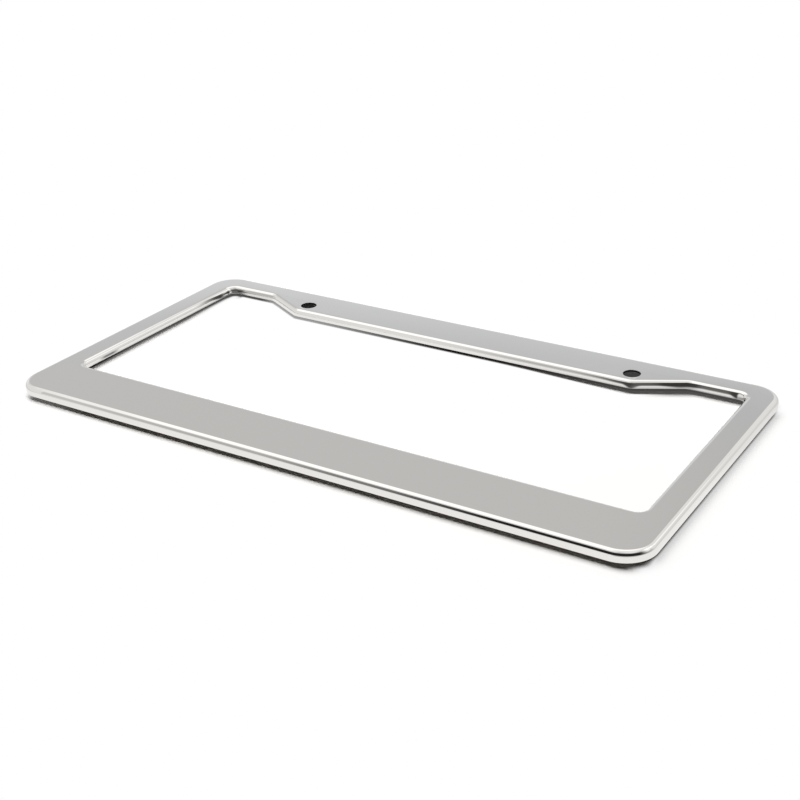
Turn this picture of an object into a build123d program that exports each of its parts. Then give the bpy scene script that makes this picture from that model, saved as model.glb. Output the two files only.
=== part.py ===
from build123d import *
import os

# Number plate holder: one frame of polished steel sheet, pressed to go over a 12 x 6 inch plate.
# It lies face up: X runs along the plate, +Y towards the bar with the screw holes, +Z out of the front.
# The origin is the middle of the outline, at the foot of the rim.

# Plate that the frame goes over
plate_width = 304.8
plate_height = 152.4
plate_clearance = 1.2  # between the plate's edge and the rim, all round
plate_seat_depth = 0.9  # rim that stands below the window lip, for the plate's own thickness

# Sheet, bends and rim
sheet = 1.0
bend_radius = 1.5  # inside radius of the bends into the rim and the window lip
rim_depth = 4.4  # from the front face to the foot of the rim
corner_radius = 13.5  # outer corners, seen from the front
edge_break = 0.15  # chamfer on the sheared edges at the feet and the screw holes

# Bars round the window, from the outside of the rim to the face of the window lip
side_bar = 13.5
bottom_bar = 30.9
top_bar = 24.2  # deep middle, which takes the screw holes
top_bar_end = 12.5  # shallow ends, beyond the ramps
window_corner_radius = 4.0

# Ramps between the deep middle and the shallow ends of the top bar
middle_length = 184.0  # between the two lower ramp ends
ramp_length = 22.3  # of one ramp, along the bar
ramp_end_radius = 6.0  # rounding where a ramp meets the bar

# Screw holes
hole_spacing = 177.8
hole_diameter = 8.0
hole_inset = 15.9  # from the frame's top edge to the line of the holes

# Sizes that follow from these
pocket_width = plate_width + 2 * plate_clearance
pocket_height = plate_height + 2 * plate_clearance
frame_width = pocket_width + 2 * sheet
frame_height = pocket_height + 2 * sheet


def window_outline():
    """The face of the window lip: a rectangle whose top edge steps down to the deep middle of the bar."""
    right = frame_width / 2 - side_bar
    bottom = bottom_bar - frame_height / 2
    end_top = frame_height / 2 - top_bar_end
    middle_top = frame_height / 2 - top_bar
    ramp_foot = middle_length / 2
    ramp_head = ramp_foot + ramp_length
    right_half = [(right, bottom), (right, end_top), (ramp_head, end_top), (ramp_foot, middle_top)]
    left_half = [(-x, y) for x, y in reversed(right_half)]
    half_radii = [window_corner_radius, window_corner_radius, ramp_end_radius, ramp_end_radius]
    radii = half_radii + half_radii[::-1]
    return make_face(FilletPolyline(*right_half, *left_half, radius=radii, close=True))


def rounded_ring(outline, window, height, edge_radius):
    """A ring between two outlines, with its upper outer and upper inner edges rounded."""
    ring = extrude(outline - window, height)
    upper_face = ring.faces().sort_by(Axis.Z)[-1]
    return fillet(upper_face.edges(), edge_radius)


def screw_holes():
    """Two round holes through the front face, on one line."""
    hole_y = frame_height / 2 - hole_inset
    circles = [Pos(side * hole_spacing / 2, hole_y) * Circle(hole_diameter / 2) for side in (-1, 1)]
    return extrude(Sketch() + circles, rim_depth)


def plate_frame():
    """The pressed sheet: its front skin, less the hollow between rim and lip, the plate's seat and the holes."""
    outline = RectangleRounded(frame_width, frame_height, corner_radius)
    pocket = RectangleRounded(pocket_width, pocket_height, corner_radius - sheet)
    window = window_outline()
    skin = rounded_ring(outline, window, rim_depth, bend_radius + sheet)
    hollow = rounded_ring(pocket, offset(window, sheet), rim_depth - sheet, bend_radius)
    plate_seat = extrude(pocket, plate_seat_depth)
    frame = skin - hollow - plate_seat - screw_holes()
    feet = frame.edges().filter_by_position(Axis.Z, 0, plate_seat_depth)
    hole_rims = frame.edges().filter_by(lambda edge: edge.is_closed)
    return chamfer(feet + hole_rims, edge_break)


os.makedirs("parts", exist_ok=True)
export_step(plate_frame(), "parts/plate_frame.step")
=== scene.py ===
from math import cos, degrees, pi, radians, sin, tan

import bmesh
import bpy
from mathutils import Matrix, Vector


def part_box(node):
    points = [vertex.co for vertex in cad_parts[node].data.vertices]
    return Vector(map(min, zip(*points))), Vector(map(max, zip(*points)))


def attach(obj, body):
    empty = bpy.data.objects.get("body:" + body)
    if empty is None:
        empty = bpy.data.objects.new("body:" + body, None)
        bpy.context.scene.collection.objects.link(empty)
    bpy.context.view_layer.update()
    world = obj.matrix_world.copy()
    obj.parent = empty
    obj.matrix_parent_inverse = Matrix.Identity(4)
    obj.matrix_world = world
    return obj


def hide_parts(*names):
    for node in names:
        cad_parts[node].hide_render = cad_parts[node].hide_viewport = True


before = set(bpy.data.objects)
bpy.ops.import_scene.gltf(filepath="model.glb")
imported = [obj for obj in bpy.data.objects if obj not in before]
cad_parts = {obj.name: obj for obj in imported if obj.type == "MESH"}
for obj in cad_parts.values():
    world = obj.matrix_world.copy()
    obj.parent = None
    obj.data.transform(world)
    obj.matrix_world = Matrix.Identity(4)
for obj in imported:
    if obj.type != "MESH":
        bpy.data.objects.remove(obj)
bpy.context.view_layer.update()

# Plate frame: one pressing of bright stainless sheet that goes over a number plate.
# The blank is drawn over a die: its rim turns down all round, and a shorter lip turns down round the window.
# The front is buffed to a mirror along its length, and the back keeps the dull grain of the rolled sheet.
mm = 0.001
half_width, half_height, rim_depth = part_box("plate_frame")[1]
sheet = 1.0 * mm
bend_outside = 2.5 * mm
plate_seat_depth = 0.9 * mm
foot_edge_break = 0.15 * mm
hole_edge_break = 0.10 * mm
corner_radius = 13.5 * mm
side_bar = 13.5 * mm
bottom_bar = 30.9 * mm
top_bar = 24.2 * mm
top_bar_end = 12.5 * mm
window_corner_radius = 4.0 * mm
window_right = half_width - side_bar
window_bottom = bottom_bar - half_height
window_middle_top = half_height - top_bar
window_end_top = half_height - top_bar_end
ramp_end_radius = 6.0 * mm
ramp_length = 22.3 * mm
middle_length = 184.0 * mm
ramp_foot = middle_length / 2
ramp_head = ramp_foot + ramp_length
hole_radius = 4.0 * mm
hole_spacing = 177.8 * mm
hole_inset = 15.9 * mm
hole_x = hole_spacing / 2
hole_y = half_height - hole_inset
corner_steps = 24
bend_steps = 16
hole_steps = 96
edge_steps = 3
hair = 0.001 * mm
sharp_turn = radians(60)


def round_corners(mesh, points, corners):
    """Rounds the points of an outline, or of a path, to the radii in its corners of (x, y, radius)."""
    places = [point.co.copy() for point in points]
    for i, (_, _, radius) in enumerate(corners):
        if radius == 0:
            continue
        before = places[i - 1] - places[i]
        after = places[(i + 1) % len(places)] - places[i]
        run = radius / tan(before.angle(after) / 2)
        bmesh.ops.bevel(mesh, geom=[points[i]], offset=run, offset_type="OFFSET", segments=corner_steps,
                        profile=0.5, affect="VERTICES", material=-1, clamp_overlap=False)


def draw_wall(mesh, edges, height):
    """Draws a wall up or down from edges, and returns the points along its far side."""
    wall = bmesh.ops.extrude_edge_only(mesh, edges=edges)["geom"]
    far_points = [part for part in wall if isinstance(part, bmesh.types.BMVert)]
    bmesh.ops.translate(mesh, verts=far_points, vec=(0, 0, height))
    return far_points


def put_in_scene(name, made):
    """Turns a finished bmesh into an object at the origin."""
    mesh = bpy.data.meshes.new(name)
    made.to_mesh(mesh)
    made.free()
    piece = bpy.data.objects.new(name, mesh)
    bpy.context.scene.collection.objects.link(piece)
    return piece


right_half = [
    (0, -half_height, 0),
    (half_width, -half_height, corner_radius),
    (half_width, half_height, corner_radius),
    (0, half_height, 0),
    (0, window_middle_top, 0),
    (ramp_foot, window_middle_top, ramp_end_radius),
    (ramp_head, window_end_top, ramp_end_radius),
    (window_right, window_end_top, window_corner_radius),
    (window_right, window_bottom, window_corner_radius),
    (0, window_bottom, 0),
]
pressing = bmesh.new()
outline = [pressing.verts.new((x, y, rim_depth)) for x, y, _ in right_half]
pressing.faces.new(outline)
round_corners(pressing, outline, right_half)
bent_edges = [edge for edge in pressing.edges if max(abs(vert.co.x) for vert in edge.verts) > hair]
feet = draw_wall(pressing, bent_edges, -rim_depth)
lip_feet = [vert for vert in feet if vert.co.x < window_right + hair
            and window_bottom - hair < vert.co.y < window_end_top + hair]
bmesh.ops.translate(pressing, verts=lip_feet, vec=(0, 0, plate_seat_depth))
bmesh.ops.bevel(pressing, geom=bent_edges, offset=bend_outside, offset_type="OFFSET", segments=bend_steps,
                profile=0.5, affect="EDGES", material=-1, clamp_overlap=False, loop_slide=False)

front = max((face for face in pressing.faces if face.calc_center_median().z > rim_depth - hair),
            key=lambda face: face.calc_area())
front_edges = front.edges[:]
bmesh.ops.delete(pressing, geom=[front], context="FACES_ONLY")
hole = bmesh.ops.create_circle(pressing, cap_ends=False, radius=hole_radius, segments=hole_steps,
                               matrix=Matrix.Translation((hole_x, hole_y, rim_depth)))["verts"]
hole_edges = [edge for edge in pressing.edges if edge.verts[0] in hole]
bmesh.ops.triangle_fill(pressing, use_beauty=True, edges=front_edges + hole_edges, normal=(0, 0, 1))
bmesh.ops.mirror(pressing, geom=pressing.verts[:] + pressing.edges[:] + pressing.faces[:], axis="X",
                 merge_dist=hair)
bmesh.ops.recalc_face_normals(pressing, faces=pressing.faces[:])

rolled = pressing.faces.layers.float.new("rolled")
sheared = pressing.faces.layers.float.new("sheared")
buffed_faces = set(pressing.faces)
cut_edges = [edge for edge in pressing.edges if edge.is_boundary]
bmesh.ops.solidify(pressing, geom=pressing.faces[:], thickness=sheet)
for face in pressing.faces:
    face[rolled] = 0.0 if face in buffed_faces else 1.0
for face in {face for edge in cut_edges for face in edge.link_faces} - buffed_faces:
    face[sheared] = 1.0
sharp_edges = [edge for edge in pressing.edges if edge.calc_face_angle() > sharp_turn]
hole_rims = [edge for edge in sharp_edges if edge.verts[0].co.z > rim_depth / 2]
foot_edges = [edge for edge in sharp_edges if edge.verts[0].co.z < rim_depth / 2]
for edges, width in ((hole_rims, hole_edge_break), (foot_edges, foot_edge_break)):
    bmesh.ops.bevel(pressing, geom=edges, offset=width, offset_type="OFFSET", segments=edge_steps,
                    profile=0.5, affect="EDGES", material=-1, clamp_overlap=False)
for face in pressing.faces:
    face.smooth = True
plate_frame = put_in_scene("plate_frame_sheet", pressing)
even = plate_frame.modifiers.new("even_shading", "WEIGHTED_NORMAL")
even.mode = "FACE_AREA"
even.weight = 100


class Wire:
    """A socket of a node tree. Operators add Math nodes (| and & take the larger and the smaller of two),
    and node() adds any other kind."""

    def __init__(self, tree, socket=None):
        self.tree = tree
        self.socket = socket

    def node(self, kind, settings=None, inputs=None, output=0):
        made = self.tree.nodes.new(kind)
        for name, setting in (settings or {}).items():
            setattr(made, name, setting)
        for name, value in (inputs or {}).items():
            if isinstance(value, Wire):
                self.tree.links.new(value.socket, made.inputs[name])
            else:
                made.inputs[name].default_value = value
        return Wire(self.tree, made.outputs[output] if made.outputs else None)

    def math(self, operation, first, second=0.0):
        return self.node("ShaderNodeMath", {"operation": operation}, {0: first, 1: second})

    def __add__(self, other):
        return self.math("ADD", self, other)

    def __radd__(self, other):
        return self.math("ADD", other, self)

    def __sub__(self, other):
        return self.math("SUBTRACT", self, other)

    def __rsub__(self, other):
        return self.math("SUBTRACT", other, self)

    def __mul__(self, other):
        return self.math("MULTIPLY", self, other)

    def __rmul__(self, other):
        return self.math("MULTIPLY", other, self)

    def __truediv__(self, other):
        return self.math("DIVIDE", self, other)

    def __rtruediv__(self, other):
        return self.math("DIVIDE", other, self)

    def __gt__(self, other):
        return self.math("GREATER_THAN", self, other)

    def __lt__(self, other):
        return self.math("LESS_THAN", self, other)

    def __or__(self, other):
        return self.math("MAXIMUM", self, other)

    def __ror__(self, other):
        return self.math("MAXIMUM", other, self)

    def __and__(self, other):
        return self.math("MINIMUM", self, other)

    def __rand__(self, other):
        return self.math("MINIMUM", other, self)

    def __neg__(self):
        return self.math("MULTIPLY", self, -1.0)

    def __abs__(self):
        return self.math("ABSOLUTE", self)


def new_tree(name):
    """A material with an empty node tree."""
    material = bpy.data.materials.new(name)
    material.use_nodes = True
    material.node_tree.nodes.clear()
    return material, Wire(material.node_tree)


def span(value, start, end, low, high):
    """Takes a value from start to end onto low to high with soft ends, and holds it there."""
    return value.node("ShaderNodeMapRange", {"interpolation_type": "SMOOTHSTEP"}, {
        "Value": value, "From Min": start, "From Max": end, "To Min": low, "To Max": high})


def mix_colours(share, first, second):
    """The first colour, and by its share the second. A Mix node has its colours on sockets 6, 7 and 2."""
    return share.node("ShaderNodeMix", {"data_type": "RGBA"}, {0: share, 6: first, 7: second}, 2)


def noise(place, scale, detail):
    """Soft noise about 0.5, with its scale along x, y and z."""
    stretched = place.node("ShaderNodeMapping", {"vector_type": "POINT"}, {"Vector": place, "Scale": scale})
    return place.node("ShaderNodeTexNoise", {}, {"Vector": stretched, "Scale": 1.0, "Detail": detail}, "Fac")


buffed_colour = (0.812, 0.794, 0.770, 1)
rolled_colour = (0.570, 0.560, 0.545, 1)
sheared_colour = (0.100, 0.098, 0.095, 1)
buff_scale = (30, 4000, 4000)
smudge_scale = (28, 28, 28)
wave_scale = (16, 16, 16)
grain_scale = (150, 2500, 2500)
polish_roughness = 0.05
smudge_roughness = 0.05
buff_roughness = 0.03
rolling_roughness = 0.30
grain_roughness = 0.16
shear_roughness = 0.15
wave_relief = 0.008
grain_relief = 0.0004
relief_strength = 0.5
polished_steel, steel = new_tree("polished_steel")
place = steel.node("ShaderNodeTexCoord", output="Object")
back = steel.node("ShaderNodeAttribute", {"attribute_name": "rolled"}, output="Fac")
cut = steel.node("ShaderNodeAttribute", {"attribute_name": "sheared"}, output="Fac")
buff_lines = noise(place, buff_scale, 2.0)
smudges = span(noise(place, smudge_scale, 4.0), 0.45, 0.75, 0.0, 1.0)
waves = noise(place, wave_scale, 1.0)
roll_grain = noise(place, grain_scale, 3.0)
front_roughness = polish_roughness + smudges * smudge_roughness + buff_lines * buff_roughness
back_roughness = rolling_roughness + roll_grain * grain_roughness
roughness = front_roughness * (1 - back) + back_roughness * back + cut * shear_roughness
sheet_colour = mix_colours(back, buffed_colour, rolled_colour)
colour = mix_colours(cut, sheet_colour, sheared_colour)
relief = waves * wave_relief + roll_grain * back * grain_relief
normal = steel.node("ShaderNodeBump", {}, {
    "Height": relief, "Strength": relief_strength, "Distance": 1 * mm})
surface = steel.node("ShaderNodeBsdfPrincipled", {}, {
    "Base Color": colour, "Metallic": 1.0, "Roughness": roughness, "Normal": normal})
steel.node("ShaderNodeOutputMaterial", {}, {"Surface": surface})
plate_frame.data.materials.append(polished_steel)
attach(plate_frame, "root")
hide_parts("plate_frame")

# Table: a plain white board, on which the frame lies face up on the foot of its rim.
# Painted light lifts it to pure white away from the frame and over most of the window, and by the sheet
# it keeps the lamp's shadow, trimmed by painted light. The polished sheet mirrors it as painted pure white,
# or as a painted light grey reflection beyond the far, left and right edges.
table_reach = 4.0
table_white = (0.985, 0.970, 0.948, 1)
pure_white = (1, 1, 1, 1)
mirrored_grey = 0.75
board = bmesh.new()
bmesh.ops.create_grid(board, x_segments=1, y_segments=1, size=table_reach)
table = put_in_scene("table", board)


def axes(place):
    """The x, y and z of a place or a direction."""
    return [place.node("ShaderNodeSeparateXYZ", {}, {"Vector": place}, axis) for axis in "XYZ"]


def diagonal(first, second):
    """The length of the long side over two sides at a right angle."""
    return first.math("SQRT", first * first + second * second)


def light_path(tree, output):
    """The kind of ray that arrives, or how far it has come."""
    return tree.node("ShaderNodeLightPath", output=output)


def joined(*parts):
    """Lays masks from 0 to 1 over each other, so that each one lifts what the others leave."""
    left_over = 1.0
    for part in parts:
        left_over = left_over * (1 - part)
    return 1 - left_over


white_board, board_tree = new_tree("white_board")
spot_x, spot_y, _ = axes(board_tree.node("ShaderNodeTexCoord", output="Object"))
across = abs(spot_x)

# Outside the frame: how far a spot lies beyond the rounded outline, and how much of that is sideways.
beyond_x = (across - (half_width - corner_radius)) | 0.0
beyond_y = (abs(spot_y) - (half_height - corner_radius)) | 0.0
from_turn = diagonal(beyond_x, beyond_y)
beyond = from_turn - corner_radius
sideways = beyond_x / (from_turn | hair)

# Painted light trims the shadow there: short along the sides, and weak by the far right and the near left
# corner.
shadow_hold = 3 * mm
shadow_reach = 12 * mm
far_part = span(beyond, shadow_hold, shadow_reach, 0.0, 1.0)
side_start = span(sideways, 0.70, 1.005, 1.3 * mm, -0.2 * mm)
side_end = span(sideways, 0.80, 1.005, 4.5 * mm, 1.4 * mm)
side_part = span(beyond, side_start, side_end, 0.0, 1.0)
side_part = side_part * span(sideways, 0.4, 0.75, 0.0, 0.78) * span(sideways, 0.9, 1.0, 1.0, 0.82)
far_right_part = span(spot_y, 58 * mm, 67 * mm, 0.0, 0.9) * (spot_x > half_width - corner_radius)
near_left_part = span(spot_x, -149.2 * mm, -140 * mm, 0.93, 0.0)
near_left_part = near_left_part + span(spot_x, -137 * mm, -105 * mm, 0.07, 0.0)
near_left_part = near_left_part * (spot_y < corner_radius - half_height)

# Inside the window: how far a spot lies below the stepped top lip, from the left lip, and from their turn.
lip_line = board_tree.node("ShaderNodeMapRange", {}, {
    "Value": across, "From Min": ramp_foot, "From Max": ramp_head,
    "To Min": window_middle_top, "To Max": window_end_top})
below_lip = lip_line - spot_y
from_left = spot_x + window_right
turn_x = (window_corner_radius - from_left) | 0.0
turn_y = (window_corner_radius - below_lip) | 0.0
lip_gap = window_corner_radius - diagonal(turn_x, turn_y)
in_window = (across < window_right) * (below_lip > 0.0) * (spot_y > window_bottom)
far_half = span(spot_y, window_bottom, 0.0, 0.0, 1.0)

# Painted light trims the shadow under the top lip to a thin line at the left, widening up to the right ramp.
line_width = span(spot_x, 20 * mm, 115 * mm, 0.2 * mm, 3.7 * mm)
clear_part = span(below_lip - line_width, 0.0, 1.5 * mm, 0.0, 1.0) * span(spot_x, 95 * mm, 112 * mm, 1.0, 0.0)
clear_part = clear_part * span(from_left, 5.5 * mm, 8 * mm, 0.0, 1.0) * far_half
thin_part = span(spot_x, -95 * mm, 0.0, 0.33, 0.0) * span(spot_x, -124 * mm, -112 * mm, 0.2, 1.0)
thin_part = thin_part + span(spot_x, 0.0, 110 * mm, 0.0, 0.05)
thin_part = thin_part * span(below_lip, -3 * mm, -1 * mm, 0.0, 1.0) * far_half

# Painted light narrows the shadow beside the left lip towards the far corner.
left_part = span(spot_y, -40 * mm, 10 * mm, 0.08, 0.17) + span(spot_y, 20 * mm, 52 * mm, 0.0, 0.72)
left_start = span(below_lip, 2 * mm, 9 * mm, 0.7 * mm, -0.5 * mm)
left_part = left_part * span(lip_gap, left_start, 2.6 * mm, 0.0, 1.0)
left_part = left_part + span(spot_y, -45 * mm, 40 * mm, 0.08, 0.0)
left_part = left_part * span(from_left, 4 * mm, 9 * mm, 1.0, 0.0) * in_window

# The board under the top bar, which shows through the screw holes, is lifted just off black by painted light.
under_part = span(spot_y, window_end_top + 0.6 * mm, window_end_top + 2 * mm, 0.0, 1.0)
under_part = under_part * (spot_y < half_height - sheet) * span(spot_x, -60 * mm, 60 * mm, 0.015, 0.045)

# Seen straight, the board glows as white as these painted-light parts say. In the sheet it glows white
# wherever it is open, a painted reflection that leaves out the shadow, save in part towards the right of the
# top lip.
outside_part = joined(far_part, side_part, far_right_part, near_left_part)
painted_lift = joined(outside_part, clear_part, left_part, thin_part, under_part)
open_part = (in_window + (beyond > 0.0)) & 1.0
shadow_part = span(spot_x, -20 * mm, 110 * mm, 0.0, 0.5) * span(below_lip, 0.0, 8 * mm, 1.0, 0.0) * in_window
seen = light_path(board_tree, "Is Camera Ray")
mirrored = light_path(board_tree, "Is Glossy Ray")
through = light_path(board_tree, "Is Transmission Ray")
bounced = light_path(board_tree, "Diffuse Depth") & 1.0
white_part = seen * painted_lift + (mirrored + through) * (1 - bounced) * open_part * (1 - shadow_part)
# Painted reflection: in the sheet the board glows light grey beyond the far and left edges and right of the
# frame.
past_edges = (spot_y - half_height) | (-spot_x - half_width)
behind_part = span(past_edges, -1 * mm, 3 * mm, 0.0, 1.0)
right_part = span(spot_y, -20 * mm, 40 * mm, 0.0, 0.4) * (spot_x > half_width)
grey_part = (behind_part | right_part) * mirrored * (1 - seen)
lit = board_tree.node("ShaderNodeBsdfDiffuse", {}, {"Color": table_white})
glow_white = board_tree.node("ShaderNodeEmission", {}, {"Color": pure_white, "Strength": 1.0})
glow_grey = board_tree.node("ShaderNodeEmission", {}, {"Color": pure_white, "Strength": mirrored_grey})
glow = board_tree.node("ShaderNodeMixShader", {}, {0: grey_part, 1: glow_white, 2: glow_grey})
board_surface = board_tree.node("ShaderNodeMixShader", {}, {0: white_part, 1: lit, 2: glow})
board_tree.node("ShaderNodeOutputMaterial", {}, {"Surface": board_surface})
table.data.materials.append(white_board)

# Light: one large soft box above and behind the frame, to the left, casts the shadow. Flags keep it out of
# the screw holes. The polished sheet mirrors the studio instead: a grey backdrop behind it, a white screen to
# the right of that, a white ceiling, and small lamps to the right whose glints follow the bends.
box_place = Vector((-2.45, 2.40, 2.04))
box_tilt = radians(-47.7)
box_width = 2.4
box_height = 1.2
box_radiance = 45.0
soft_box_data = bpy.data.lights.new("soft_box", "AREA")
soft_box_data.shape = "RECTANGLE"
soft_box_data.size = box_width
soft_box_data.size_y = box_height
soft_box_data.energy = pi * box_width * box_height * box_radiance
soft_box = bpy.data.objects.new("soft_box", soft_box_data)
soft_box.location = box_place
soft_box.rotation_euler = (box_tilt, 0, 0)
soft_box.visible_glossy = False
bpy.context.scene.collection.objects.link(soft_box)

flag_radius = hole_radius + 1 * mm
flag_height = 2.8 * mm
flags = bmesh.new()
for flag_x in (-hole_x, hole_x):
    bmesh.ops.create_circle(flags, cap_ends=True, radius=flag_radius, segments=hole_steps,
                            matrix=Matrix.Translation((flag_x, hole_y, flag_height)))
hole_flags = put_in_scene("hole_flags", flags)
hole_flags.data.materials.append(white_board)
for ray in ("camera", "diffuse", "glossy", "transmission", "volume_scatter"):
    setattr(hole_flags, "visible_" + ray, False)

# Studio: its parts are told apart by the bearing and the rise of a mirrored ray, both in degrees.
fill = 0.03
fill_colour = (1.08, 0.99, 0.91, 1)
backdrop_foot_colour = (0.978, 1.000, 1.031, 1)
backdrop_slope = 0.134
lamps = (
    # bearing, rise, inner and outer radius, gain
    (63, 31.5, 4, 9, 0.30),
    (56, 39, 3, 9, 0.18),
    (48, 47, 6, 13, 0.36),
    (30, 49, 5, 12, 0.36),
    (14, 36, 8, 17, 0.50),
)
studio = bpy.data.worlds.new("studio")
bpy.context.scene.world = studio
studio.use_nodes = True
studio.node_tree.nodes.clear()
room = Wire(studio.node_tree)
direction = room.node("ShaderNodeTexCoord", output="Generated")
side, depth, height = axes(direction)
bearing = room.math("ARCTAN2", depth, side) * degrees(1)
rise = room.math("ARCSINE", height) * degrees(1) + (bearing - 125) * backdrop_slope

# Walls: the backdrop is lighter at its foot and at its left end, and the front wall is darker than both.
backdrop_tone = span(rise, 20.5, 23.3, 0.770, 0.612)
backdrop_tone = backdrop_tone * span(bearing, 106, 114, 0.92, 1.0) * span(bearing, 146, 156, 1.0, 1.25)
screen_tone = span(height, 0.0, sin(radians(25)), 0.76, 0.90)
front_left = span(abs(bearing), 85, 105, 0.0, 1.0)
front_tone = 0.55 + front_left * span(height, sin(radians(42)), sin(radians(60)), 0.33, 0.22)
rear_half = span(bearing, 157, 179, 1.0, 0.0)
rear_part = span(bearing, 20, 40, 0.0, 1.0) * rear_half
backdrop_part = span(bearing, 97, 104, 0.0, 1.0) * rear_half
rear_tone = screen_tone * (1 - backdrop_part) + backdrop_tone * backdrop_part
wall_tone = rear_tone * rear_part + front_tone * (1 - rear_part)
for lamp_bearing, lamp_rise, inner, outer, gain in lamps:
    level = cos(radians(lamp_rise))
    lamp_x = cos(radians(lamp_bearing)) * level
    lamp_y = sin(radians(lamp_bearing)) * level
    nearness = room.node("ShaderNodeVectorMath", {"operation": "DOT_PRODUCT"}, {
        0: direction, 1: (lamp_x, lamp_y, sin(radians(lamp_rise)))}, "Value")
    wall_tone = wall_tone + span(nearness, cos(radians(outer)), cos(radians(inner)), 0.0, gain)

# Ceiling: brightest to the left, with a darker band at its left end and an even skylight in the middle.
ceiling_tone = span(side, -0.20, 0.30, 1.30, 0.95)
ceiling_tone = ceiling_tone * span(side, -0.66, -0.62, 0.84, 1.0) * span(side, -0.70, -0.675, 0.82, 1.0)
skylight_part = span(height, sin(radians(70)), sin(radians(82)), 0.0, 1.0)
upper_tone = ceiling_tone * (1 - skylight_part) + skylight_part * 0.95
ceiling_part = span(height - side * 0.25, 0.70, 0.81, 0.0, 1.0) * span(depth, -0.36, -0.18, 0.0, 1.0)
studio_tone = wall_tone * (1 - ceiling_part) + upper_tone * ceiling_part

# The sheet mirrors all this, the camera sees plain white, and the table gets only a faint warm fill.
camera_ray = light_path(room, "Is Camera Ray")
scattered = light_path(room, "Diffuse Depth") & 1.0
glossy_ray = light_path(room, "Is Glossy Ray")
transmission_ray = light_path(room, "Is Transmission Ray")
shown = ((glossy_ray + transmission_ray) & 1.0) * (1 - scattered)
strength = camera_ray + (1 - camera_ray) * (studio_tone * shown + (1 - shown) * fill)
cool_part = span(rise, 23.0, 26.5, 1.0, 0.0) * backdrop_part * shown
studio_colour = mix_colours(cool_part, pure_white, backdrop_foot_colour)
world_colour = mix_colours((shown + camera_ray) & 1.0, fill_colour, studio_colour)
world_glow = room.node("ShaderNodeBackground", {}, {"Color": world_colour, "Strength": strength})
room.node("ShaderNodeOutputWorld", {}, {"Surface": world_glow})

# Black cards: thin strips on edge, just off the bright bends, which show only in the sheet beside them.
# They draw painted dark reflections: the dark lines along the near rim, along the right part of the top lip
# and in the left end of the window. Each is painted dark only where its line runs, and is clear elsewhere.
card_gap = 0.8 * mm
card_glow = 0.02
card_sight = 8 * mm
card_sight_end = 14 * mm


def black_card(name, path, low, high, darkness):
    """A strip on edge along a path of (x, y, radius). Its darkness goes from 0, clear, to 1, black."""
    strip = bmesh.new()
    points = [strip.verts.new((x, y, low)) for x, y, _ in path]
    for first, second in zip(points, points[1:]):
        strip.edges.new((first, second))
    round_corners(strip, points, path)
    draw_wall(strip, strip.edges[:], high - low)
    card = put_in_scene(name, strip)
    paint, tree = new_tree(name)
    x, y, z = axes(tree.node("ShaderNodeTexCoord", output="Object"))
    nearby = span(light_path(tree, "Ray Length"), card_sight, card_sight_end, 1.0, 0.0)
    black = tree.node("ShaderNodeEmission", {}, {"Color": pure_white, "Strength": card_glow})
    clear = tree.node("ShaderNodeBsdfTransparent")
    card_surface = tree.node("ShaderNodeMixShader", {}, {0: darkness(x, y, z) * nearby, 1: clear, 2: black})
    tree.node("ShaderNodeOutputMaterial", {}, {"Surface": card_surface})
    card.data.materials.append(paint)
    for ray in ("camera", "diffuse", "transmission", "volume_scatter", "shadow"):
        setattr(card, "visible_" + ray, False)


def around(value, centre, inner, outer, level):
    """A level that holds within inner of the centre, and fades to nothing at outer."""
    return span(abs(value - centre), inner, outer, level, 0.0)


def rim_darkness(x, y, z):
    """Faint at the left end of the near rim, dark at the right, and gone round the corner."""
    corner_y = corner_radius - half_height
    line_part = span(x, -150 * mm, -20 * mm, 0.25, 0.42) + span(x, -20 * mm, 25 * mm, 0.0, 0.30)
    line_part = line_part + span(x, 20 * mm, 100 * mm, 0.0, 0.28)
    return line_part * span(y, corner_y - 9 * mm, corner_y - 4 * mm, 1.0, 0.0)


rim_x = half_width + card_gap
rim_y = -half_height - card_gap
black_card("near_rim_card", [
    (-138 * mm, rim_y, 0),
    (rim_x, rim_y, corner_radius + card_gap),
    (rim_x, -half_height + 20 * mm, 0),
], low=3.1 * mm, high=6.0 * mm, darkness=rim_darkness)


def window_darkness(x, y, z):
    """A line that grows dark to the right, reaches lower at each turn of the lip, and ends in a spot."""
    line_foot = span(x, 76 * mm, 86 * mm, 2.85 * mm, 2.35 * mm)
    for turn, reach, drop in ((92 * mm, 5 * mm, 1.9 * mm), (112 * mm, 10 * mm, 1.15 * mm),
                              (136 * mm, 3.5 * mm, 1.6 * mm)):
        line_foot = line_foot - around(x, turn, 0.0, reach, drop)
    line_head = span(x, 84 * mm, 104 * mm, 4.7 * mm, 6.2 * mm) + span(x, 108 * mm, 118 * mm, 0.0, 1.3 * mm)
    line_head = line_head + span(x, 76 * mm, 86 * mm, 0.5 * mm, 0.0)
    within = span(z - line_foot, -0.8 * mm, 0.8 * mm, 0.0, 1.0) * (z < line_head)
    line_part = span(x, -20 * mm, 50 * mm, 0.0, 0.42) + span(x, 60 * mm, 92 * mm, 0.0, 0.54)
    line_part = line_part - around(x, 98 * mm, 2 * mm, 8 * mm, 0.14)
    line_part = line_part - around(x, 125.5 * mm, 5 * mm, 9 * mm, 0.11)
    end_spot = around(z, 1.5 * mm, 0.4 * mm, 1.2 * mm, 0.5)
    end_part = span(x, 135.9 * mm, 136.9 * mm, 0.0, 1.0)
    return within * line_part * (1 - end_part) + end_spot * end_part


card_shift = 0.2 * mm
black_card("window_right_card", [
    (-30 * mm, window_middle_top - card_gap, 0),
    (ramp_foot + card_shift, window_middle_top - card_gap, ramp_end_radius),
    (ramp_head + card_shift, window_end_top - card_gap, ramp_end_radius),
    (window_right - card_gap, window_end_top - card_gap, window_corner_radius - card_gap),
    (window_right - card_gap, window_end_top - 6 * mm, 0),
], low=0.3 * mm, high=7.8 * mm, darkness=window_darkness)


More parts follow.
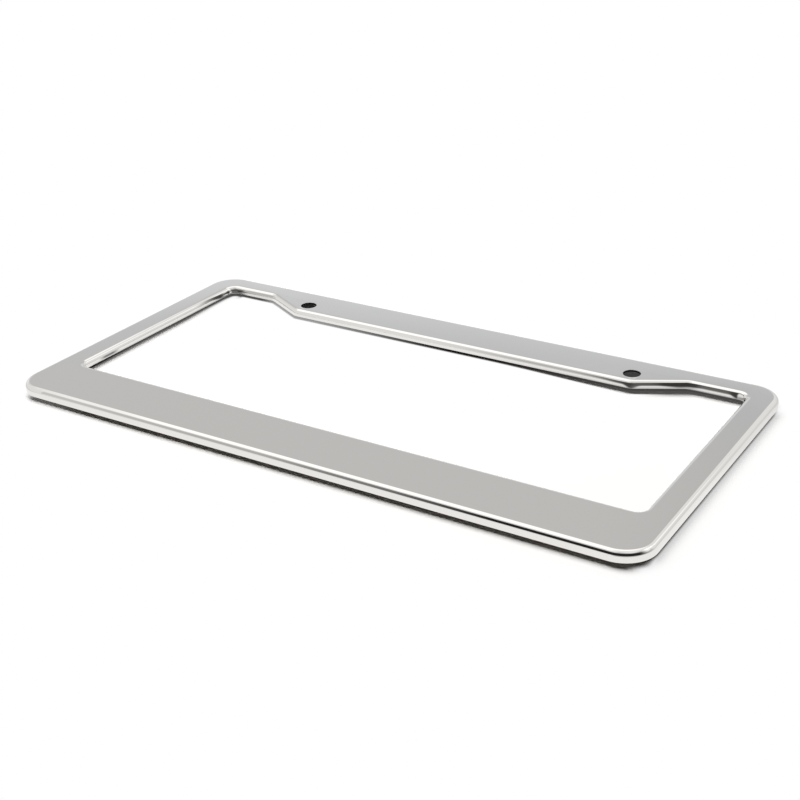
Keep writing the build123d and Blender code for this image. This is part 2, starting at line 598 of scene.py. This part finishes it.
def left_corner_darkness(x, y, z):
    """A wedge down the left lip, a patch along the top lip, a line at the foot, and one small streak."""
    below_top = window_end_top - y
    from_left = x + window_right
    wedge_head = span(below_top, 2 * mm, 8 * mm, 2.6 * mm, 4.3 * mm)
    wedge_head = wedge_head + span(below_top, 8 * mm, 20 * mm, 0.0, 2.4 * mm)
    wedge_foot = span(below_top, 8 * mm, 20 * mm, 0.6 * mm, 2.6 * mm)
    wedge = span(z - wedge_foot, -0.6 * mm, 0.6 * mm, 0.0, 1.0)
    wedge = wedge * span(z - wedge_head, -0.8 * mm, 0.8 * mm, 1.0, 0.0)
    wedge = wedge * span(below_top, 3.5 * mm, 9.5 * mm, 0.0, 1.0)
    wedge = wedge * span(below_top, 11 * mm, 31 * mm, 1.0, 0.0)
    wedge = wedge * span(from_left, 1.1 * mm, 2.1 * mm, 0.93, 0.0)
    past_turn = span(from_left, 7.1 * mm, 10.1 * mm, 0.0, 1.0)
    patch_head = span(from_left, 1.5 * mm, 2.7 * mm, 3.9 * mm, 4.6 * mm) + past_turn * (1.0 * mm)
    patch = span(from_left, 1.1 * mm, 1.6 * mm, 0.0, 0.85) * span(from_left, 3.6 * mm, 8.1 * mm, 1.0, 0.45)
    patch = patch * (1 - past_turn * 0.7 * span(z, 2.0 * mm, 3.6 * mm, 1.0, 0.0))
    patch = patch * (z < patch_head) * (below_top < 3 * mm)
    foot_line = span(z, 0.6 * mm, 1.5 * mm, 1.0, 0.0) * span(from_left, 6.1 * mm, 9.1 * mm, 1.0, 0.2)
    foot_level = span(below_top, 6 * mm, 12 * mm, 0.35, 0.0) + span(below_top, 12 * mm, 40 * mm, 0.50, 0.20)
    streak = around(y, -28.5 * mm, 2 * mm, 8 * mm, 0.75) * around(z, 1.7 * mm, 0.4 * mm, 1.1 * mm, 1.0)
    return wedge | patch | (foot_line * foot_level) | streak


black_card("window_left_card", [
    (card_gap - window_right, -40 * mm, 0),
    (card_gap - window_right, window_end_top - card_gap, window_corner_radius - card_gap),
    (-116 * mm, window_end_top - card_gap, 0),
], low=0.05 * mm, high=7.6 * mm, darkness=left_corner_darkness)

# Camera: a normal lens above the near right corner of the frame, turned to look across it.
# Its place is given by its azimuth, elevation and distance from a target on the table.
camera_azimuth = radians(33.1026)
camera_elevation = radians(25.6753)
camera_roll = radians(-2.1232)
camera_distance = 605.8804 * mm
camera_target = Vector((6.8021, -2.1996, 0)) * mm
camera_data = bpy.data.cameras.new("camera")
camera_data.sensor_width = 36
camera_data.lens = 61.596
camera_data.clip_start = 0.01
camera = bpy.data.objects.new("camera", camera_data)
away = Vector((sin(camera_azimuth) * cos(camera_elevation), -cos(camera_azimuth) * cos(camera_elevation),
               sin(camera_elevation)))
level_right = Vector((cos(camera_azimuth), sin(camera_azimuth), 0))
right = Matrix.Rotation(camera_roll, 3, away) @ level_right
up = away.cross(right)
camera.matrix_world = Matrix.Translation(camera_target + away * camera_distance) @ Matrix(
    (right, up, away)).transposed().to_4x4()
bpy.context.scene.collection.objects.link(camera)
bpy.context.scene.camera = camera
bpy.context.scene.view_settings.view_transform = "Standard"
